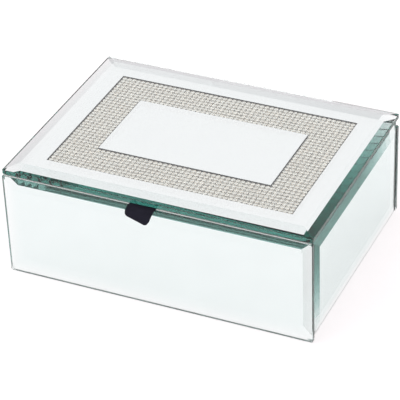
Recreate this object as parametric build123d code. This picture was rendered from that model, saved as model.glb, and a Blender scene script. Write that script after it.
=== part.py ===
"""Mirrored vanity trinket box with a hinged lid and a ring of rhinestones under the lid glass.

Frame: +Z up, the front faces -Y, the hinges are at +Y. The origin is the centre of the
footprint of the closed glass box, on the surface it stands on. Millimetres.
"""
import os

from build123d import *

# ---------------------------------------------------------------- driving dimensions
WIDTH = 203.0             # left to right over the side glass
DEPTH = 155.0             # front glass to back glass
HEIGHT = 77.5             # surface to the top of the closed lid

GLASS = 5.0               # thickness of every mirror pane
BEVEL_WIDTH = 8.5         # width of the ground bevel on a pane's outer face
BEVEL_DROP = 2.0          # how much thinner the pane is at its edge

LID_GAP = 0.6             # dark line between the lid glass and the top of the side glass
LID_SETBACK = 2.5         # lid's front edge behind the face of the front pane
BACK_PANE_DROP = 7.0      # the back pane stops this far below the side panes, for the hinges
BACK_PANE_INSET = 1.2     # and this far inside the side panes' faces

FELT = 1.0                # felt under the base
BASE_BOARD = 3.0
WALL = 5.0                # fibreboard walls behind the front and side glass
BACK_WALL = 8.0           # thicker, because the hinge screws go into it
LINER = 1.0               # velvet over card on each wall
FLOOR_PAD = 2.5
LID_BOARD = 4.4
LID_PAD = 1.5             # padded velvet under the lid
LID_REST = 0.1            # clearance under the closed lid board
BOARD_CLEARANCE = 0.8     # lid board to the panes around it
PAD_CLEARANCE = 1.0       # lid pad to the liners around it

STONE_PITCH = 3.22        # rhinestone spacing
STONE_COLUMNS = 50        # across the whole ring
STONE_ROWS = 33
STRIP_STONES = 7          # stones across the width of one strip of the ring
CHANNEL_CLEARANCE = 0.6   # stones to each side of the channel in the lid board
BAND_BACKING = 0.6        # metal mesh that the stones are set in
MESH_MARGIN = 0.5         # mesh beyond the stones on each side
STONE_HEIGHT = 2.3
STONES_TO_GLASS = 0.1     # stone tops below the underside of the lid glass

HINGE_LENGTH = 30.0
HINGE_SPREAD = 110.0      # between the two hinges' middles
LEAF_THICKNESS = 0.8
LEAF_REACH = 9.6          # from the hinge axis to the leaf's far edge
BARREL_RADIUS = 1.8
PIN_RADIUS = 0.75
PIN_PROJECTION = 0.3      # pin beyond the outermost knuckles
RUNNING_CLEARANCE = 0.05  # pin in its knuckles
LEAF_GAP = 0.1            # each closed leaf to the plane through the hinge axis
KNUCKLE_GAP = 0.2         # between neighbouring knuckles
KNUCKLES = 5
BARREL_BEHIND_WALL = 0.3  # barrel to the back of the wall
BARREL_TO_LEAF = 0.3      # barrel to the edge of the other leaf
SCREW_SPREAD = 18.0       # between the two screws of a leaf
SCREW_FROM_AXIS = 6.0
SCREW_RADIUS = 0.8
SCREW_HEAD_RADIUS = 1.5
SCREW_HEAD = 0.7
SCREW_CLEARANCE = 0.05
BODY_SCREW_LENGTH = 9.0   # below the leaf
LID_SCREW_LENGTH = 2.2    # above the leaf

TAB_WIDTH = 17.5          # ribbon pull
TAB_THICKNESS = 0.55
TAB_OFFSET = -6.5         # its middle, left of the box's middle
TAB_OUT = 12.0            # how far it stands out of the front
TAB_DROOP = 4.0           # how far its free end hangs

# ---------------------------------------------------------------- levels and faces
LEFT, RIGHT = -WIDTH / 2, WIDTH / 2
FRONT, BACK = -DEPTH / 2, DEPTH / 2
INNER_LEFT, INNER_RIGHT = LEFT + GLASS, RIGHT - GLASS    # inner faces of the glass
INNER_FRONT, INNER_BACK = FRONT + GLASS, BACK - GLASS
LID_GLASS_BOTTOM = HEIGHT - GLASS
PANE_BOTTOM = FELT
PANE_TOP = LID_GLASS_BOTTOM - LID_GAP
BACK_PANE_TOP = PANE_TOP - BACK_PANE_DROP
LID_BOARD_BOTTOM = LID_GLASS_BOTTOM - LID_BOARD
WALL_TOP = LID_BOARD_BOTTOM - LID_REST
STONE_TOP = LID_GLASS_BOTTOM - STONES_TO_GLASS
STONE_BOTTOM = STONE_TOP - STONE_HEIGHT
CHANNEL_BOTTOM = STONE_BOTTOM - BAND_BACKING
FLOOR_TOP = FELT + BASE_BOARD

CAVITY_LEFT, CAVITY_RIGHT = INNER_LEFT + WALL, INNER_RIGHT - WALL   # inner faces of the walls
CAVITY_FRONT, CAVITY_BACK = INNER_FRONT + WALL, INNER_BACK - BACK_WALL

RING_WIDTH = STONE_COLUMNS * STONE_PITCH
RING_DEPTH = STONE_ROWS * STONE_PITCH
STRIP_WIDTH = STRIP_STONES * STONE_PITCH
LID_FRONT = FRONT + LID_SETBACK
LID_MIDDLE = (LID_FRONT + INNER_BACK) / 2      # the lid ends where the back pane begins

AXIS_Y = INNER_BACK + BARREL_BEHIND_WALL + BARREL_RADIUS
AXIS_Z = LID_BOARD_BOTTOM - LEAF_THICKNESS - LEAF_GAP
SCREW_Y = AXIS_Y - SCREW_FROM_AXIS
PIN_LENGTH = HINGE_LENGTH + 2 * PIN_PROJECTION


def block(left, right, front, back, bottom, top):
    """A plain box between six planes."""
    middle = ((left + right) / 2, (front + back) / 2, (bottom + top) / 2)
    return Pos(*middle) * Box(right - left, back - front, top - bottom)


def bevelled_pane(width, height):
    """A pane lying on XY, mirror side down, ground to a bevel all round its upper face."""
    edge = GLASS - BEVEL_DROP
    slab = extrude(Rectangle(width, height), amount=edge)
    shoulder = Plane.XY.offset(edge) * Rectangle(width, height)
    table = Plane.XY.offset(GLASS) * Rectangle(width - 2 * BEVEL_WIDTH, height - 2 * BEVEL_WIDTH)
    return slab + loft([shoulder, table])


# ---------------------------------------------------------------- glass of the body
def front_mirror():
    height = PANE_TOP - PANE_BOTTOM
    return Pos(0, INNER_FRONT, PANE_BOTTOM + height / 2) * Rot(90, 0, 0) * bevelled_pane(WIDTH, height)


def back_mirror():
    height = BACK_PANE_TOP - PANE_BOTTOM
    pane = bevelled_pane(WIDTH - 2 * BACK_PANE_INSET, height)
    return Pos(0, INNER_BACK, PANE_BOTTOM + height / 2) * Rot(-90, 0, 0) * pane


def side_mirror(side):
    """side is -1 for the left pane and 1 for the right one; both end between front and back glass."""
    height = PANE_TOP - PANE_BOTTOM
    pane = bevelled_pane(height, INNER_BACK - INNER_FRONT)
    return Pos(side * INNER_RIGHT, 0, PANE_BOTTOM + height / 2) * Rot(0, side * 90, 0) * pane


# ---------------------------------------------------------------- fibreboard carcass
def front_wall():
    return block(INNER_LEFT, INNER_RIGHT, INNER_FRONT, CAVITY_FRONT, FELT, WALL_TOP)


def side_wall(side):
    left, right = sorted((side * CAVITY_RIGHT, side * INNER_RIGHT))
    return block(left, right, CAVITY_FRONT, CAVITY_BACK, FELT, WALL_TOP)


def back_wall():
    """The back wall, with a mortise for each pair of hinge leaves and holes for their screws."""
    wall = block(INNER_LEFT, INNER_RIGHT, CAVITY_BACK, INNER_BACK, FELT, WALL_TOP)
    mortise_bottom = AXIS_Z - LEAF_GAP - LEAF_THICKNESS
    half = HINGE_LENGTH / 2 + KNUCKLE_GAP
    for middle in hinge_middles():
        wall -= block(middle - half, middle + half, CAVITY_BACK, INNER_BACK, mortise_bottom, WALL_TOP)
        for x in screw_places(middle):
            wall -= Pos(x, SCREW_Y, mortise_bottom) * screw_drill(BODY_SCREW_LENGTH, Align.MAX)
    return wall


def base_board():
    return block(CAVITY_LEFT, CAVITY_RIGHT, CAVITY_FRONT, CAVITY_BACK, FELT, FLOOR_TOP)


def underside_felt():
    return block(INNER_LEFT, INNER_RIGHT, INNER_FRONT, INNER_BACK, 0, FELT)


# ---------------------------------------------------------------- velvet lining of the body
def long_liner(face, inward):
    """A liner on the front or back wall; inward is the direction from the wall into the box."""
    front, back = sorted((face, face + inward * LINER))
    return block(CAVITY_LEFT, CAVITY_RIGHT, front, back, FLOOR_TOP, WALL_TOP)


def side_liner(side):
    left, right = sorted((side * (CAVITY_RIGHT - LINER), side * CAVITY_RIGHT))
    return block(left, right, CAVITY_FRONT + LINER, CAVITY_BACK - LINER, FLOOR_TOP, WALL_TOP)


def floor_pad():
    return block(CAVITY_LEFT + LINER, CAVITY_RIGHT - LINER, CAVITY_FRONT + LINER, CAVITY_BACK - LINER,
                 FLOOR_TOP, FLOOR_TOP + FLOOR_PAD)


# ---------------------------------------------------------------- lid
def lid_mirror():
    """One bevelled pane over the whole lid; the silver is left off above the stones."""
    return Pos(0, LID_MIDDLE, LID_GLASS_BOTTOM) * bevelled_pane(WIDTH, INNER_BACK - LID_FRONT)


def rectangular_ring(bottom, top, grow=0.0):
    """The stone ring's outline between two levels, widened on both sides by grow."""
    height = top - bottom
    middle = Pos(0, LID_MIDDLE, (bottom + top) / 2)
    outer = Box(RING_WIDTH + 2 * grow, RING_DEPTH + 2 * grow, height)
    window_width = RING_WIDTH - 2 * STRIP_WIDTH - 2 * grow
    window_depth = RING_DEPTH - 2 * STRIP_WIDTH - 2 * grow
    return middle * (outer - Box(window_width, window_depth, height))


def lid_board():
    """Board glued under the lid glass, with a channel for the stones and holes for the hinge screws."""
    board = block(INNER_LEFT + BOARD_CLEARANCE, INNER_RIGHT - BOARD_CLEARANCE,
                  INNER_FRONT + BOARD_CLEARANCE, INNER_BACK - BOARD_CLEARANCE,
                  LID_BOARD_BOTTOM, LID_GLASS_BOTTOM)
    board -= rectangular_ring(CHANNEL_BOTTOM, LID_GLASS_BOTTOM, CHANNEL_CLEARANCE)
    for middle in hinge_middles():
        for x in screw_places(middle):
            board -= Pos(x, SCREW_Y, LID_BOARD_BOTTOM) * screw_drill(LID_SCREW_LENGTH, Align.MIN)
    return board


def lid_lining():
    side = CAVITY_RIGHT - LINER - PAD_CLEARANCE
    return block(-side, side, CAVITY_FRONT + LINER + PAD_CLEARANCE, CAVITY_BACK - LINER - PAD_CLEARANCE,
                 LID_BOARD_BOTTOM - LID_PAD, LID_BOARD_BOTTOM)


def pull_tab():
    """Ribbon tab glued under the front of the lid glass; its free end droops over the front pane."""
    root_top = LID_GLASS_BOTTOM
    root_bottom = root_top - TAB_THICKNESS
    root_back = INNER_FRONT + BOARD_CLEARANCE
    tip = FRONT - TAB_OUT
    outline = Polyline(
        (root_back, root_top),
        (FRONT - 2 * TAB_THICKNESS, root_top),
        (tip, root_top - TAB_DROOP),
        (tip, root_bottom - TAB_DROOP),
        (FRONT - 2 * TAB_THICKNESS, root_bottom),
        (root_back, root_bottom),
        close=True,
    )
    side = Plane.YZ * make_face(outline)
    return Pos(TAB_OFFSET - TAB_WIDTH / 2, 0, 0) * extrude(side, amount=TAB_WIDTH, dir=(1, 0, 0))


# ---------------------------------------------------------------- hinges
def hinge_middles():
    return (-HINGE_SPREAD / 2, HINGE_SPREAD / 2)


def screw_places(middle):
    return (middle - SCREW_SPREAD / 2, middle + SCREW_SPREAD / 2)


def screw_drill(length, end):
    """A clearance hole for a screw's shank, its mouth at the origin. end says which way it goes."""
    return Cylinder(SCREW_RADIUS + SCREW_CLEARANCE, length + SCREW_CLEARANCE,
                    align=(Align.CENTER, Align.CENTER, end))


def along_x(radius, length):
    """A cylinder along X, centred on the origin."""
    return Rot(0, 90, 0) * Cylinder(radius, length)


def hinge_leaf(middle, up):
    """One leaf with its knuckles. up is 1 for the lid's leaf and -1 for the body's leaf."""
    knuckle = HINGE_LENGTH / KNUCKLES
    bottom, top = sorted((AXIS_Z + up * LEAF_GAP, AXIS_Z + up * (LEAF_GAP + LEAF_THICKNESS)))
    far_edge = AXIS_Y - LEAF_REACH
    near_edge = AXIS_Y - BARREL_RADIUS - BARREL_TO_LEAF
    leaf = block(middle - HINGE_LENGTH / 2, middle + HINGE_LENGTH / 2, far_edge, near_edge, bottom, top)
    first = 1 if up > 0 else 0
    for index in range(first, KNUCKLES, 2):
        x = middle - HINGE_LENGTH / 2 + (index + 0.5) * knuckle
        half = (knuckle - KNUCKLE_GAP) / 2
        leaf += block(x - half, x + half, near_edge, AXIS_Y, bottom, top)
        leaf += Pos(x, AXIS_Y, AXIS_Z) * along_x(BARREL_RADIUS, 2 * half)
    leaf -= Pos(middle, AXIS_Y, AXIS_Z) * along_x(PIN_RADIUS + RUNNING_CLEARANCE, PIN_LENGTH)
    for x in screw_places(middle):
        leaf -= screw(x, up, SCREW_CLEARANCE)
    return leaf


def hinge_pin(middle):
    return Pos(middle, AXIS_Y, AXIS_Z) * along_x(PIN_RADIUS, PIN_LENGTH)


def screw(x, up, grow=0.0):
    """A countersunk screw in a leaf, its head on the leaf's inner face. grow makes it a drill."""
    face = AXIS_Z + up * LEAF_GAP
    length = LID_SCREW_LENGTH if up > 0 else BODY_SCREW_LENGTH
    shank = Cylinder(SCREW_RADIUS + grow, LEAF_THICKNESS + length,
                     align=(Align.CENTER, Align.CENTER, Align.MIN))
    head = Cone(SCREW_HEAD_RADIUS + grow, SCREW_RADIUS + grow, SCREW_HEAD,
                align=(Align.CENTER, Align.CENTER, Align.MIN))
    turn = Rot(0, 0, 0) if up > 0 else Rot(180, 0, 0)
    return Pos(x, SCREW_Y, face) * turn * (shank + head)


def leaf_screws(up):
    places = [x for middle in hinge_middles() for x in screw_places(middle)]
    return Compound(children=[screw(x, up).solid() for x in places])


# ---------------------------------------------------------------- all nodes
def build_nodes():
    nodes = {
        "front_mirror": front_mirror(),
        "back_mirror": back_mirror(),
        "left_mirror": side_mirror(-1),
        "right_mirror": side_mirror(1),
        "front_wall": front_wall(),
        "back_wall": back_wall(),
        "left_wall": side_wall(-1),
        "right_wall": side_wall(1),
        "base_board": base_board(),
        "underside_felt": underside_felt(),
        "front_liner": long_liner(CAVITY_FRONT, 1),
        "back_liner": long_liner(CAVITY_BACK, -1),
        "left_liner": side_liner(-1),
        "right_liner": side_liner(1),
        "floor_pad": floor_pad(),
        "body_hinge_screws": leaf_screws(-1),
        "lid_mirror": lid_mirror(),
        "rhinestone_mesh": rectangular_ring(CHANNEL_BOTTOM, STONE_BOTTOM, MESH_MARGIN),
        "rhinestones": rectangular_ring(STONE_BOTTOM, STONE_TOP),
        "lid_board": lid_board(),
        "lid_lining": lid_lining(),
        "lid_hinge_screws": leaf_screws(1),
        "pull_tab": pull_tab(),
    }
    for name, middle in zip(("left", "right"), hinge_middles()):
        nodes[f"{name}_hinge_body_leaf"] = hinge_leaf(middle, -1)
        nodes[f"{name}_hinge_lid_leaf"] = hinge_leaf(middle, 1)
        nodes[f"{name}_hinge_pin"] = hinge_pin(middle)
    return nodes


os.makedirs("parts", exist_ok=True)
for node, shape in build_nodes().items():
    export_step(shape, f"parts/{node}.step")
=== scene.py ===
"""Looks of the mirrored trinket box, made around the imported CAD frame. Metres, +Z up, front at -Y."""
import math
import random

import bmesh
import bpy
from mathutils import Matrix, Vector, noise


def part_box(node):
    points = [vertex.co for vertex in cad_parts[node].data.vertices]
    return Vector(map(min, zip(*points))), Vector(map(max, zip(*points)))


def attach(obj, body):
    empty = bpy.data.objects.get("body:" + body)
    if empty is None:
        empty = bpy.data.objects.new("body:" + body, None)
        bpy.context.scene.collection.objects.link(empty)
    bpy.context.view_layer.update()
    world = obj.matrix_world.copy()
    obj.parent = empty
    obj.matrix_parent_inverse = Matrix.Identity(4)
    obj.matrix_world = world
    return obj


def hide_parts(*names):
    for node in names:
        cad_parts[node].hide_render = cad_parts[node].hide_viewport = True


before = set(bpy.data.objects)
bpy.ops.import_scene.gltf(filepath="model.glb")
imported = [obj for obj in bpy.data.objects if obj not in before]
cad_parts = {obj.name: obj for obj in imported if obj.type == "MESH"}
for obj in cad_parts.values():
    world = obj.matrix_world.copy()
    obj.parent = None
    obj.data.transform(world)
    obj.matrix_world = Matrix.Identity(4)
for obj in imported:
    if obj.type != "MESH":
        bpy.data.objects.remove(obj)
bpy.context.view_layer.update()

MM = 0.001

# ---------------------------------------------------------------- driving values
GLASS_IOR = 1.52
GLASS_TINT = (0.25, 0.66, 0.61, 1)
GLASS_DENSITY = 25.0           # with the tint this is absorption per metre
EDGE_ROUGHNESS = 0.0
GLASS_BOUNCES = 96             # light runs the whole length of a pane, face to face
BEVEL_WIDTH = 8.5 * MM         # ground bevel on the outer face of a pane
BEVEL_DROP = 2.0 * MM          # how much thinner the glass is at its edge
CORNER_RADIUS = 1.3 * MM       # rounded corners of a bevelled pane
CORNER_STEPS = 6               # even, so that a point lies on the mitre
ARRIS = 0.25 * MM              # small chamfer along every cut edge
SKIN_GAP = 0.03 * MM           # keeps a pane's paint clear of the board behind it
PAINT = 0.08 * MM              # backing paint behind the silver
SILVER_AT = 0.14 * MM          # where the silvered face of the glass lies

GROUND_ENDS = {                # ends left ground instead of polished: 1 is the top, -1 the bottom
    "front_mirror": (1, -1),
    "back_mirror": (-1,),
    "left_mirror": (-1,),
    "right_mirror": (-1,),
}

STONE_COLUMNS, STONE_ROWS, STRIP_STONES = 50, 33, 7
CHANNEL_CLEARANCE = 0.6 * MM   # stones to each side of their channel
STONE_RADIUS = 1.54 * MM
STONE_SIDES = 8
TABLE_SHARE = 0.76             # table radius over stone radius
CROWN_HEIGHT = 0.30 * MM
GIRDLE_HEIGHT = 0.12 * MM
PAVILION_DEPTH = 0.55 * MM
BACK_SHARE = 0.72              # flat foiled back over stone radius
PLATE_BELOW_STONE = 0.05 * MM
CUP_OUTER, CUP_INNER = 1.61 * MM, 1.55 * MM
CUP_SIDES = 8
CUP_ABOVE_GIRDLE = 0.05 * MM
STONE_SEED = 7

TAB_LEFT_REACH, TAB_RIGHT_REACH = 6.8 * MM, 11.0 * MM   # how far each side stands out
TAB_DROOP = 4.0 * MM
TAB_THICKNESS = 0.5 * MM       # thinner than the gap under the lid glass
TAB_CORNER = 3.0 * MM
TAB_CURVE = 1.5                # power of the droop along the free end
TAB_SKEW = 0.10                # sideways drift over droop
TAB_EDGE_ROUND = 0.5 * MM
TAB_EDGE_SHARE = 0.25          # thickness at the very edge over the full thickness
TAB_BELOW_GLASS = 0.02 * MM

SLAB_RIM = 0.05 * MM           # least height of a soft slab, along its rim
RIPPLE_SCALE = 45.0            # noise scale of the velvet's ripples, per metre
RIPPLE_SLICE = 0.37            # level at which the ripples are cut from the noise

FLOOR_HALF = 6.0
FLOOR_DROP = 0.02 * MM         # floor below the part's felt, so that they don't share a face
FLOOR_GLOW = (1.0, 0.965, 0.970, 1)     # a little pink, against the green of the glass
FLOOR_GLOW_STRENGTH = 0.76
LAMPS = (                      # name, place, size and power
    ("key", (-1.6, -1.4, 2.6), 3.0, 34.0),
    ("top", (0.3, -0.8, 3.2), 3.0, 26.0),
)
SKY_STRENGTH = 1.13
SWEEP_TOP = (0.62, (1.0, 0.935, 0.955, 1))      # sine of the height angle, and colour
CEILING_START = (0.72, (0.62, 0.59, 0.61, 1))

CAMERA_POSITION = Vector((0.4540, -0.9595, 0.7468))
CAMERA_FORWARD = Vector((-0.35755, 0.74812, -0.55900))
CAMERA_DOWN = Vector((0.20316, -0.52193, -0.82844))
FOCAL_LENGTH = 183.132         # millimetres
SENSOR_WIDTH = 36.0            # millimetres


# ---------------------------------------------------------------- materials
def new_material(name):
    """A material with only a Principled shader and its output; returns it with both nodes."""
    material = bpy.data.materials.new(name)
    material.use_nodes = True
    nodes = material.node_tree.nodes
    nodes.clear()
    output = nodes.new("ShaderNodeOutputMaterial")
    shader = nodes.new("ShaderNodeBsdfPrincipled")
    material.node_tree.links.new(shader.outputs["BSDF"], output.inputs["Surface"])
    return material, shader, output


def set_inputs(shader, **values):
    """Sets shader sockets; an underscore in a name stands for a space."""
    for name, value in values.items():
        shader.inputs[name.replace("_", " ")].default_value = value


def noise_node(material, scale, detail=3.0, stretch=(1, 1, 1)):
    """Noise in the piece's own coordinates, which are the row frame."""
    nodes, links = material.node_tree.nodes, material.node_tree.links
    place = nodes.new("ShaderNodeTexCoord")
    mapping = nodes.new("ShaderNodeMapping")
    mapping.inputs["Scale"].default_value = stretch
    texture = nodes.new("ShaderNodeTexNoise")
    texture.inputs["Scale"].default_value = scale
    texture.inputs["Detail"].default_value = detail
    links.new(place.outputs["Object"], mapping.inputs["Vector"])
    links.new(mapping.outputs["Vector"], texture.inputs["Vector"])
    return texture


def ranged(material, source, low, high, from_low=0.3, from_high=0.7):
    """A value between low and high that follows a texture."""
    node = material.node_tree.nodes.new("ShaderNodeMapRange")
    for name, value in (("From Min", from_low), ("From Max", from_high), ("To Min", low), ("To Max", high)):
        node.inputs[name].default_value = value
    material.node_tree.links.new(source, node.inputs["Value"])
    return node.outputs["Result"]


def ramp(material, source, stops):
    """A colour ramp with (position, colour) stops."""
    node = material.node_tree.nodes.new("ShaderNodeValToRGB")
    elements = node.color_ramp.elements
    for element, (position, colour) in zip(elements, (stops[0], stops[-1])):
        element.position = position
        element.color = (*colour, 1)
    for position, colour in stops[1:-1]:
        element = elements.new(position)
        element.color = (*colour, 1)
    material.node_tree.links.new(source, node.inputs["Fac"])
    return node.outputs["Color"]


def bump(material, shader, source, strength, distance):
    """Raises the surface by a texture."""
    node = material.node_tree.nodes.new("ShaderNodeBump")
    node.inputs["Strength"].default_value = strength
    node.inputs["Distance"].default_value = distance
    material.node_tree.links.new(source, node.inputs["Height"])
    material.node_tree.links.new(node.outputs["Normal"], shader.inputs["Normal"])


def glass_material(name, roughness):
    """Float glass that goes green over a long path."""
    material, shader, output = new_material(name)
    set_inputs(shader, Base_Color=(1, 1, 1, 1), Roughness=roughness, IOR=GLASS_IOR, Transmission_Weight=1.0)
    volume = material.node_tree.nodes.new("ShaderNodeVolumeAbsorption")
    volume.inputs["Color"].default_value = GLASS_TINT
    volume.inputs["Density"].default_value = GLASS_DENSITY
    material.node_tree.links.new(volume.outputs["Volume"], output.inputs["Volume"])
    return material


def silver_material():
    """The silvered face behind the glass, slightly warm and very slightly uneven."""
    material, shader, _ = new_material("silvering")
    set_inputs(shader, Metallic=1.0, Roughness=0.0)
    cloud = noise_node(material, 30.0, 2.0)
    stops = [(0.3, (0.975, 0.950, 0.950)), (0.7, (0.985, 0.960, 0.960))]
    colour = ramp(material, cloud.outputs["Fac"], stops)
    material.node_tree.links.new(colour, shader.inputs["Base Color"])
    return material


def paint_material():
    """Grey backing paint on the silver."""
    material, shader, _ = new_material("backing_paint")
    set_inputs(shader, Roughness=0.6)
    speckle = noise_node(material, 900.0)
    stops = [(0.3, (0.05, 0.055, 0.055)), (0.7, (0.09, 0.095, 0.095))]
    colour = ramp(material, speckle.outputs["Fac"], stops)
    material.node_tree.links.new(colour, shader.inputs["Base Color"])
    bump(material, shader, speckle.outputs["Fac"], 0.3, 0.05 * MM)
    return material


def ground_edge_material():
    """A sawn and ground edge that scatters the light inside the glass."""
    material, shader, _ = new_material("ground_edge")
    set_inputs(shader, Roughness=0.7)
    grain = noise_node(material, 1200.0)
    colour = ramp(material, grain.outputs["Fac"], [(0.3, (0.74, 0.80, 0.78)), (0.7, (0.88, 0.92, 0.90))])
    material.node_tree.links.new(colour, shader.inputs["Base Color"])
    return material


def velvet_material(name, dark, light, sheen):
    """Short pile with a soft nap: colour and height vary at the size of the tufts."""
    material, shader, _ = new_material(name)
    set_inputs(shader, Roughness=0.95, Sheen_Weight=sheen, Sheen_Roughness=0.35, Sheen_Tint=(*light, 1),
               Specular_IOR_Level=0.15)
    pile = noise_node(material, 2600.0, 4.0)
    nap = noise_node(material, 55.0, 2.0, (1, 2.5, 1))
    blend = material.node_tree.nodes.new("ShaderNodeMath")
    blend.operation = "ADD"
    blend.use_clamp = True
    links = material.node_tree.links
    links.new(ranged(material, pile.outputs["Fac"], 0.0, 0.65), blend.inputs[0])
    links.new(ranged(material, nap.outputs["Fac"], 0.0, 0.35), blend.inputs[1])
    colour = ramp(material, blend.outputs["Value"], [(0.0, dark), (1.0, light)])
    links.new(colour, shader.inputs["Base Color"])
    bump(material, shader, pile.outputs["Fac"], 0.6, 0.15 * MM)
    return material


def felt_material():
    """Dark felt with fine, slightly drawn-out fibres."""
    material, shader, _ = new_material("felt")
    set_inputs(shader, Roughness=1.0, Sheen_Weight=0.3, Specular_IOR_Level=0.1)
    fibre = noise_node(material, 1500.0, 6.0, (1, 0.35, 1))
    colour = ramp(material, fibre.outputs["Fac"], [(0.3, (0.012, 0.012, 0.014)), (0.7, (0.05, 0.05, 0.055))])
    material.node_tree.links.new(colour, shader.inputs["Base Color"])
    bump(material, shader, fibre.outputs["Fac"], 0.8, 0.2 * MM)
    return material


def flock_paper_material():
    """Black flocked paper wrapped round the fibreboard."""
    material, shader, _ = new_material("flock_paper")
    set_inputs(shader, Roughness=0.9, Sheen_Weight=0.15, Specular_IOR_Level=0.2)
    grain = noise_node(material, 3200.0, 3.0)
    stops = [(0.35, (0.006, 0.006, 0.007)), (0.75, (0.028, 0.027, 0.030))]
    colour = ramp(material, grain.outputs["Fac"], stops)
    material.node_tree.links.new(colour, shader.inputs["Base Color"])
    bump(material, shader, grain.outputs["Fac"], 0.4, 0.08 * MM)
    return material


def nickel_material():
    """Plated steel with fine rolling marks along the hinge."""
    material, shader, _ = new_material("nickel_plate")
    set_inputs(shader, Metallic=1.0)
    marks = noise_node(material, 1800.0, 3.0, (0.05, 1, 1))
    links = material.node_tree.links
    links.new(ranged(material, marks.outputs["Fac"], 0.16, 0.34), shader.inputs["Roughness"])
    colour = ramp(material, marks.outputs["Fac"], [(0.3, (0.62, 0.59, 0.53)), (0.7, (0.78, 0.75, 0.69))])
    links.new(colour, shader.inputs["Base Color"])
    bump(material, shader, marks.outputs["Fac"], 0.15, 0.02 * MM)
    return material


def setting_metal_material():
    """Silver-plated setting of the stones, with tarnish in its hollows."""
    material, shader, _ = new_material("stone_setting")
    set_inputs(shader, Metallic=0.8)
    tarnish = noise_node(material, 700.0, 3.0)
    links = material.node_tree.links
    links.new(ranged(material, tarnish.outputs["Fac"], 0.25, 0.45), shader.inputs["Roughness"])
    colour = ramp(material, tarnish.outputs["Fac"], [(0.3, (0.84, 0.81, 0.78)), (0.7, (0.93, 0.90, 0.87))])
    links.new(colour, shader.inputs["Base Color"])
    return material


def crystal_material():
    """Clear, slightly warm cut glass."""
    material, shader, _ = new_material("crystal")
    set_inputs(shader, Base_Color=(1.0, 0.995, 0.98, 1), Roughness=0.0, IOR=1.56, Transmission_Weight=1.0)
    return material


def foil_material():
    """The foil behind each stone: bright, with small differences from stone to stone."""
    material, shader, _ = new_material("stone_foil")
    set_inputs(shader, Metallic=1.0, Roughness=0.07)
    shade = noise_node(material, 260.0, 1.0)
    colour = ramp(material, shade.outputs["Fac"], [(0.35, (0.98, 0.94, 0.90)), (0.65, (1.0, 0.97, 0.94))])
    material.node_tree.links.new(colour, shader.inputs["Base Color"])
    return material


def floor_material():
    """Mid-grey paper that glows strongly, so that it comes out white and its shadows stay faint."""
    material, shader, _ = new_material("studio_floor")
    set_inputs(shader, Roughness=0.9, Specular_IOR_Level=0.1, Emission_Color=FLOOR_GLOW,
               Emission_Strength=FLOOR_GLOW_STRENGTH)
    paper = noise_node(material, 40.0, 2.0)
    colour = ramp(material, paper.outputs["Fac"], [(0.3, (0.29, 0.29, 0.295)), (0.7, (0.305, 0.305, 0.31))])
    material.node_tree.links.new(colour, shader.inputs["Base Color"])
    return material


# ---------------------------------------------------------------- mesh helpers
def finish_piece(name, mesh_data, materials, body, nodes=(), smooth=False):
    """Turns a bmesh into a piece that rides on a body and stands for CAD nodes."""
    mesh = bpy.data.meshes.new(name)
    bmesh.ops.recalc_face_normals(mesh_data, faces=mesh_data.faces)
    mesh_data.to_mesh(mesh)
    mesh_data.free()
    for material in materials:
        mesh.materials.append(material)
    for polygon in mesh.polygons:
        polygon.use_smooth = smooth
    piece = bpy.data.objects.new(name, mesh)
    bpy.context.scene.collection.objects.link(piece)
    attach(piece, body)
    if nodes:
        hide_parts(*nodes)
    return piece


def ring_faces(mesh_data, lower, upper, material=0):
    """Quads between two closed loops of vertices with the same count."""
    count = len(lower)
    for i in range(count):
        j = (i + 1) % count
        face = mesh_data.faces.new((lower[i], lower[j], upper[j], upper[i]))
        face.material_index = material


def rounded_outline(width, height, radius, inset):
    """Counterclockwise points of a rectangle with rounded corners, shrunk by inset."""
    points = []
    for corner, (sx, sy) in enumerate(((-1, -1), (1, -1), (1, 1), (-1, 1))):
        cx, cy = sx * (width / 2 - radius), sy * (height / 2 - radius)
        for step in range(CORNER_STEPS + 1):
            angle = math.radians(180 + 90 * corner + 90 * step / CORNER_STEPS)
            points.append((cx + (radius - inset) * math.cos(angle), cy + (radius - inset) * math.sin(angle)))
    return points


def rectangle(width, height):
    """Corners of a rectangle round the origin, counterclockwise."""
    return [(sx * width / 2, sy * height / 2) for sx, sy in ((-1, -1), (1, -1), (1, 1), (-1, 1))]


CLEAR, SILVERED, PAINTED, EDGE, GROUND = range(5)      # a pane's material slots
EDGE_FACING = 0.99                             # the flat of the edge, without its arrises


class Pane:
    """A place to build a pane: across, up and out are its directions, c = 0 its inner face."""

    def __init__(self, node, out, up):
        low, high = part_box(node)
        self.out, self.up = Vector(out), Vector(up)
        self.across = self.up.cross(self.out)
        size = high - low
        self.width = abs(size.dot(self.across))
        self.height = abs(size.dot(self.up))
        self.thickness = abs(size.dot(self.out))
        self.origin = (low + high) / 2 - self.out * self.thickness / 2

    def vertex(self, mesh_data, a, b, c):
        return mesh_data.verts.new(self.origin + self.across * a + self.up * b + self.out * c)


def mitred_ring(mesh_data, outer, inner, material):
    """Four faces between a rounded outer loop, split at its mitres, and a four-cornered inner loop."""
    per_corner = CORNER_STEPS + 1
    count = len(outer)
    for side in range(4):
        start = side * per_corner + CORNER_STEPS // 2
        run = [outer[(start + k) % count] for k in range(per_corner + 1)]
        face = mesh_data.faces.new(run + [inner[(side + 1) % 4], inner[side]])
        face.material_index = material


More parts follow.
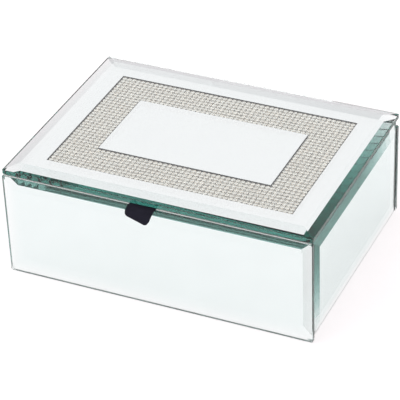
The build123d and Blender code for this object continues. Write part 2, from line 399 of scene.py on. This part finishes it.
def glass_pane(name, node, out, up, body, ring=None, ground_ends=()):
    """A ground, bevelled and silvered pane with its backing paint.

    ring is (outer, inner) sizes of a rectangular ring over which the silver is left off.
    ground_ends are the edges left ground instead of polished: 1 is the top and -1 the bottom.
    """
    pane = Pane(node, out, up)
    data = bmesh.new()
    width, height, top = pane.width, pane.height, pane.thickness

    def shoulder(a, b):
        depth = min(width / 2 - abs(a), height / 2 - abs(b))
        return top - BEVEL_DROP + BEVEL_DROP * depth / BEVEL_WIDTH

    def loop(inset, level):
        points = rounded_outline(width, height, CORNER_RADIUS, inset)
        return [pane.vertex(data, a, b, level(a, b)) for a, b in points]

    def corners(w, h, c):
        return [pane.vertex(data, a, b, c) for a, b in rectangle(w, h)]

    bottom = loop(ARRIS, lambda a, b: SILVER_AT)
    low_edge = loop(0, lambda a, b: SILVER_AT + ARRIS)
    high_edge = loop(0, lambda a, b: shoulder(a, b) - ARRIS)
    rim = loop(ARRIS, shoulder)
    ring_faces(data, bottom, low_edge, EDGE)
    ring_faces(data, low_edge, high_edge, EDGE)
    ring_faces(data, high_edge, rim, EDGE)
    for face in data.faces:
        face.normal_update()
        end = math.copysign(1, (face.calc_center_median() - pane.origin).dot(pane.up))
        if end in ground_ends and abs(face.normal.dot(pane.up)) > EDGE_FACING:
            face.material_index = GROUND
    table = corners(width - 2 * BEVEL_WIDTH, height - 2 * BEVEL_WIDTH, top)
    mitred_ring(data, rim, table, CLEAR)
    data.faces.new(table)
    if ring:
        clear_out, clear_in = (corners(*size, SILVER_AT) for size in ring)
        mitred_ring(data, bottom, clear_out, SILVERED)
        ring_faces(data, clear_out, clear_in, CLEAR)
        data.faces.new(clear_in).material_index = SILVERED
    else:
        data.faces.new(bottom).material_index = SILVERED

    under = loop(2 * ARRIS, lambda a, b: SKIN_GAP)
    over = loop(2 * ARRIS, lambda a, b: SKIN_GAP + PAINT)
    ring_faces(data, under, over, PAINTED)
    if ring:
        levels = (SKIN_GAP, SKIN_GAP + PAINT)
        outer = [corners(*ring[0], c) for c in levels]
        inner = [corners(*ring[1], c) for c in levels]
        ring_faces(data, outer[0], outer[1], PAINTED)
        ring_faces(data, inner[0], inner[1], PAINTED)
        for loop_out, loop_in, patch in ((under, outer[0], inner[0]), (over, outer[1], inner[1])):
            mitred_ring(data, loop_out, loop_in, PAINTED)
            data.faces.new(patch).material_index = PAINTED
    else:
        data.faces.new(under).material_index = PAINTED
        data.faces.new(over).material_index = PAINTED
    return finish_piece(name, data, PANE_MATERIALS, body, (node,))


# ---------------------------------------------------------------- rhinestones
def stone_places():
    """Centres of the stones in the ring, in the lid's plane."""
    low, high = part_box("rhinestones")
    pitch = (high.x - low.x) / STONE_COLUMNS
    for row in range(STONE_ROWS):
        for column in range(STONE_COLUMNS):
            inside = (STRIP_STONES <= column < STONE_COLUMNS - STRIP_STONES
                      and STRIP_STONES <= row < STONE_ROWS - STRIP_STONES)
            if not inside:
                yield low.x + (column + 0.5) * pitch, low.y + (row + 0.5) * pitch


def circle(data, x, y, z, radius, sides, turn=0.0):
    """Vertices of a level regular polygon."""
    points = []
    for k in range(sides):
        angle = turn + 2 * math.pi * k / sides
        points.append(data.verts.new((x + radius * math.cos(angle), y + radius * math.sin(angle), z)))
    return points


def add_stone(data, x, y, girdle_z, turn):
    """One foiled stone: octagonal table, sixteen crown facets, girdle, short pavilion and flat back."""
    half_step = math.pi / STONE_SIDES
    table = circle(data, x, y, girdle_z + CROWN_HEIGHT, STONE_RADIUS * TABLE_SHARE, STONE_SIDES, turn)
    crown = circle(data, x, y, girdle_z, STONE_RADIUS, STONE_SIDES, turn + half_step)
    belt = circle(data, x, y, girdle_z - GIRDLE_HEIGHT, STONE_RADIUS, STONE_SIDES, turn + half_step)
    back_z = girdle_z - GIRDLE_HEIGHT - PAVILION_DEPTH
    back = circle(data, x, y, back_z, STONE_RADIUS * BACK_SHARE, STONE_SIDES, turn + half_step)
    data.faces.new(table)
    data.faces.new(back).material_index = 1
    for k in range(STONE_SIDES):
        j = (k + 1) % STONE_SIDES
        data.faces.new((table[k], crown[k], table[j]))
        data.faces.new((table[j], crown[k], crown[j]))
    ring_faces(data, belt, crown)
    ring_faces(data, back, belt, 1)


def rhinestones():
    """All the cut stones of the ring, each turned a little by chance."""
    _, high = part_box("rhinestones")
    girdle_z = high.z - CROWN_HEIGHT
    chance = random.Random(STONE_SEED)
    data = bmesh.new()
    for x, y in stone_places():
        add_stone(data, x, y, girdle_z, chance.uniform(0, math.pi / 4))
    return finish_piece("rhinestones_cut", data, (CRYSTAL, FOIL), "lid", ("rhinestones",))


def add_cup(data, x, y, bottom, top):
    """A thin collar round one stone."""
    loops = [circle(data, x, y, z, radius, CUP_SIDES, math.pi / CUP_SIDES)
             for z, radius in ((bottom, CUP_OUTER), (top, CUP_OUTER), (top, CUP_INNER), (bottom, CUP_INNER))]
    for k in range(4):
        ring_faces(data, loops[k], loops[(k + 1) % 4])


def setting_mesh():
    """Backing plate with a collar for each stone."""
    low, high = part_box("rhinestone_mesh")
    stones_low, stones_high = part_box("rhinestones")
    pitch = (stones_high.x - stones_low.x) / STONE_COLUMNS
    strip = STRIP_STONES * pitch + high.x - stones_high.x + stones_low.x - low.x
    data = bmesh.new()
    middle = (low + high) / 2

    def corners(w, h, z):
        return [data.verts.new((middle.x + a, middle.y + b, z)) for a, b in rectangle(w, h)]

    width, depth = high.x - low.x, high.y - low.y
    girdle_z = stones_high.z - CROWN_HEIGHT
    plate_top = girdle_z - GIRDLE_HEIGHT - PAVILION_DEPTH - PLATE_BELOW_STONE
    levels = (low.z + SKIN_GAP, plate_top)
    outer = [corners(width, depth, z) for z in levels]
    inner = [corners(width - 2 * strip, depth - 2 * strip, z) for z in levels]
    ring_faces(data, outer[0], outer[1])
    ring_faces(data, inner[0], inner[1])
    ring_faces(data, outer[0], inner[0])
    ring_faces(data, outer[1], inner[1])
    for x, y in stone_places():
        add_cup(data, x, y, plate_top + SKIN_GAP, girdle_z + CUP_ABOVE_GIRDLE)
    return finish_piece("setting_mesh", data, (SETTING,), "lid", ("rhinestone_mesh",))


# ---------------------------------------------------------------- soft pieces
def soft_slab(name, node, body, normal, edge, crown, cells=(60, 44), wobble=0.12 * MM):
    """A velvet-covered slab: rounded along its exposed edges, slightly crowned, flat behind.

    normal is the direction its exposed face looks in.
    """
    low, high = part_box(node)
    out = Vector(normal)
    axis = max(range(3), key=lambda i: abs(out[i]))
    a_axis, b_axis = [i for i in range(3) if i != axis]
    size = high - low
    thickness = size[axis]
    back = low[axis] if out[axis] > 0 else high[axis]
    side_a, side_b = size[a_axis], size[b_axis]
    data = bmesh.new()

    def spaced(length, count):
        """Places along a side, closer together near both ends."""
        return [length * (1 - math.cos(math.pi * k / count)) / 2 for k in range(count + 1)]

    def lift(a, b):
        depth = min(a, side_a - a, b, side_b - b)
        rise = 1.0 if depth >= edge else math.sqrt(max(0.0, 1 - (1 - depth / edge) ** 2))
        dome = math.sin(math.pi * a / side_a) * math.sin(math.pi * b / side_b)
        ripple = noise.noise(Vector((a, b, RIPPLE_SLICE)) * RIPPLE_SCALE) * wobble * min(1.0, depth / edge)
        return (thickness - crown) * rise + crown * dome ** 0.5 * rise + min(0.0, ripple)

    def vertex(a, b, c):
        point = Vector((0, 0, 0))
        point[a_axis] = low[a_axis] + a
        point[b_axis] = low[b_axis] + b
        point[axis] = back + c * (1 if out[axis] > 0 else -1)
        return data.verts.new(point)

    across, along = spaced(side_a, cells[0]), spaced(side_b, cells[1])
    front = [[vertex(a, b, max(SLAB_RIM, lift(a, b))) for b in along] for a in across]
    for i in range(cells[0]):
        for j in range(cells[1]):
            data.faces.new((front[i][j], front[i + 1][j], front[i + 1][j + 1], front[i][j + 1]))
    border = ([row[0] for row in front] + front[-1][1:] + [row[-1] for row in reversed(front[:-1])]
              + list(reversed(front[0][1:-1])))
    foot = []
    for v in border:
        point = v.co.copy()
        point[axis] = back + SKIN_GAP * (1 if out[axis] > 0 else -1)
        foot.append(data.verts.new(point))
    ring_faces(data, border, foot)
    data.faces.new(foot)
    return finish_piece(name, data, (VELVET,), body, (node,), smooth=True)


def pull_tab():
    """Velvet ribbon, glued under the lid glass, that comes out of the gap and droops a little skew."""
    low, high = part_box("pull_tab")
    pane_low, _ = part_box("front_mirror")
    front_y = pane_low.y
    width = high.x - low.x
    columns, rows = 20, 22
    root = high.y - front_y
    data = bmesh.new()

    def middle_line(share, across):
        """Place of the ribbon's middle at a share of its length, for a share across its width."""
        reach = TAB_LEFT_REACH + (TAB_RIGHT_REACH - TAB_LEFT_REACH) * across
        corner = min(across, 1 - across) * width
        if corner < TAB_CORNER:
            reach -= TAB_CORNER - math.sqrt(TAB_CORNER ** 2 - (TAB_CORNER - corner) ** 2)
        length = root + reach
        along = share * length - root
        y = front_y - along
        free = max(0.0, along)
        sag = TAB_DROOP * (free / TAB_RIGHT_REACH) ** TAB_CURVE
        return y, high.z - TAB_THICKNESS / 2 - TAB_BELOW_GLASS - sag, sag

    layers = []
    for sign in (1, -1):
        layer = []
        for i in range(columns + 1):
            across = i / columns
            line = []
            for j in range(rows + 1):
                share = j / rows
                y, z, sag = middle_line(share, across)
                edge = min(across, 1 - across) * width
                tip = (1 - share) * (root + TAB_RIGHT_REACH)
                round_off = min(1.0, math.sqrt(max(0.0, min(edge, tip)) / TAB_EDGE_ROUND) + TAB_EDGE_SHARE)
                half = TAB_THICKNESS / 2 * round_off
                x = low.x + across * width + TAB_SKEW * sag
                line.append(data.verts.new((x, y, z + sign * half)))
            layer.append(line)
        layers.append(layer)
    top, bottom = layers
    for layer in layers:
        for i in range(columns):
            for j in range(rows):
                data.faces.new((layer[i][j], layer[i + 1][j], layer[i + 1][j + 1], layer[i][j + 1]))
    for i in range(columns):
        for j in (0, rows):
            data.faces.new((top[i][j], top[i + 1][j], bottom[i + 1][j], bottom[i][j]))
    for j in range(rows):
        for i in (0, columns):
            data.faces.new((top[i][j], top[i][j + 1], bottom[i][j + 1], bottom[i][j]))
    tab = finish_piece("ribbon_tab", data, (RIBBON,), "lid", ("pull_tab",), smooth=True)
    return tab


def give_material(material, *nodes):
    """Puts a material on CAD nodes whose shape is right."""
    for name in nodes:
        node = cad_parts[name]
        if not node.data.materials:
            node.data.materials.append(material)
        for slot in node.material_slots:
            slot.material = material


# ---------------------------------------------------------------- stage
def surroundings():
    """A faintly pink white sweep up to the top of the backdrop, and a dim ceiling above it."""
    world = bpy.data.worlds.new("studio")
    bpy.context.scene.world = world
    world.use_nodes = True
    nodes, links = world.node_tree.nodes, world.node_tree.links
    direction = nodes.new("ShaderNodeTexCoord")
    split = nodes.new("ShaderNodeSeparateXYZ")
    ramp_node = nodes.new("ShaderNodeValToRGB")
    sweep, ceiling = ramp_node.color_ramp.elements
    sweep.position, sweep.color = SWEEP_TOP
    ceiling.position, ceiling.color = CEILING_START
    background = nodes["Background"]
    background.inputs["Strength"].default_value = SKY_STRENGTH
    links.new(direction.outputs["Generated"], split.inputs["Vector"])
    links.new(split.outputs["Z"], ramp_node.inputs["Fac"])
    links.new(ramp_node.outputs["Color"], background.inputs["Color"])


def studio():
    """The floor, its surroundings and two large soft lights."""
    mesh = bpy.data.meshes.new("floor")
    data = bmesh.new()
    corners = rectangle(2 * FLOOR_HALF, 2 * FLOOR_HALF)
    data.faces.new([data.verts.new((a, b, -FLOOR_DROP)) for a, b in corners])
    data.to_mesh(mesh)
    data.free()
    mesh.materials.append(floor_material())
    floor = bpy.data.objects.new("floor", mesh)
    bpy.context.scene.collection.objects.link(floor)

    surroundings()
    for name, place, size, power in LAMPS:
        light = bpy.data.lights.new(name, "AREA")
        light.size = size
        light.energy = power
        lamp = bpy.data.objects.new(name, light)
        lamp.location = place
        lamp.rotation_euler = (-Vector(place)).to_track_quat("-Z", "Y").to_euler()
        bpy.context.scene.collection.objects.link(lamp)


def camera():
    """The camera at the viewing angle of the product view."""
    data = bpy.data.cameras.new("camera")
    data.sensor_width = SENSOR_WIDTH
    data.lens = FOCAL_LENGTH
    data.clip_start = 0.05
    data.clip_end = 50
    item = bpy.data.objects.new("camera", data)
    forward = CAMERA_FORWARD.normalized()
    right = (CAMERA_DOWN.cross(forward)).normalized()
    up = right.cross(forward)
    turn = Matrix((right, up, -forward)).transposed().to_4x4()
    item.matrix_world = Matrix.Translation(CAMERA_POSITION) @ turn
    bpy.context.scene.collection.objects.link(item)
    bpy.context.scene.camera = item


def light_paths():
    """Glass edges need many bounces, and plain display keeps the white as it is."""
    scene = bpy.context.scene
    scene.cycles.max_bounces = GLASS_BOUNCES
    scene.cycles.transmission_bounces = GLASS_BOUNCES
    scene.cycles.glossy_bounces = GLASS_BOUNCES
    scene.view_settings.view_transform = "Standard"


# ---------------------------------------------------------------- assembly
camera()
studio()
light_paths()

PANE_MATERIALS = (glass_material("float_glass", 0.0), silver_material(), paint_material(),
                  glass_material("polished_glass_edge", EDGE_ROUGHNESS), ground_edge_material())
VELVET = velvet_material("velvet", (0.004, 0.004, 0.005), (0.030, 0.029, 0.034), 0.5)
RIBBON = velvet_material("ribbon_velvet", (0.003, 0.003, 0.006), (0.015, 0.015, 0.025), 0.30)
CRYSTAL = crystal_material()
FOIL = foil_material()
SETTING = setting_metal_material()

for name, out in (("front_mirror", (0, -1, 0)), ("back_mirror", (0, 1, 0)),
                  ("left_mirror", (-1, 0, 0)), ("right_mirror", (1, 0, 0))):
    glass_pane(name + "_glass", name, out, (0, 0, 1), "box", ground_ends=GROUND_ENDS[name])

stones_low, stones_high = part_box("rhinestones")
pitch = (stones_high.x - stones_low.x) / STONE_COLUMNS
outer_ring = (stones_high.x - stones_low.x + 2 * CHANNEL_CLEARANCE,
              stones_high.y - stones_low.y + 2 * CHANNEL_CLEARANCE)
window_shrink = 2 * STRIP_STONES * pitch + 4 * CHANNEL_CLEARANCE
inner_ring = (outer_ring[0] - window_shrink, outer_ring[1] - window_shrink)
glass_pane("lid_glass", "lid_mirror", (0, 0, 1), (0, 1, 0), "lid", ring=(outer_ring, inner_ring))
rhinestones()
setting_mesh()

give_material(flock_paper_material(), "front_wall", "back_wall", "left_wall", "right_wall", "base_board",
              "lid_board")
give_material(felt_material(), "underside_felt")
give_material(nickel_material(), "body_hinge_screws", "lid_hinge_screws",
              *[f"{side}_hinge_{part}" for side in ("left", "right")
                for part in ("body_leaf", "lid_leaf", "pin")])

soft_slab("floor_pad_velvet", "floor_pad", "box", (0, 0, 1), 2.0 * MM, 0.5 * MM)
soft_slab("lid_lining_velvet", "lid_lining", "lid", (0, 0, -1), 1.2 * MM, 0.3 * MM)
for name, normal in (("front_liner", (0, 1, 0)), ("back_liner", (0, -1, 0)),
                     ("left_liner", (1, 0, 0)), ("right_liner", (-1, 0, 0))):
    soft_slab(name + "_velvet", name, "box", normal, 0.8 * MM, 0.1 * MM, wobble=0.08 * MM)
pull_tab()
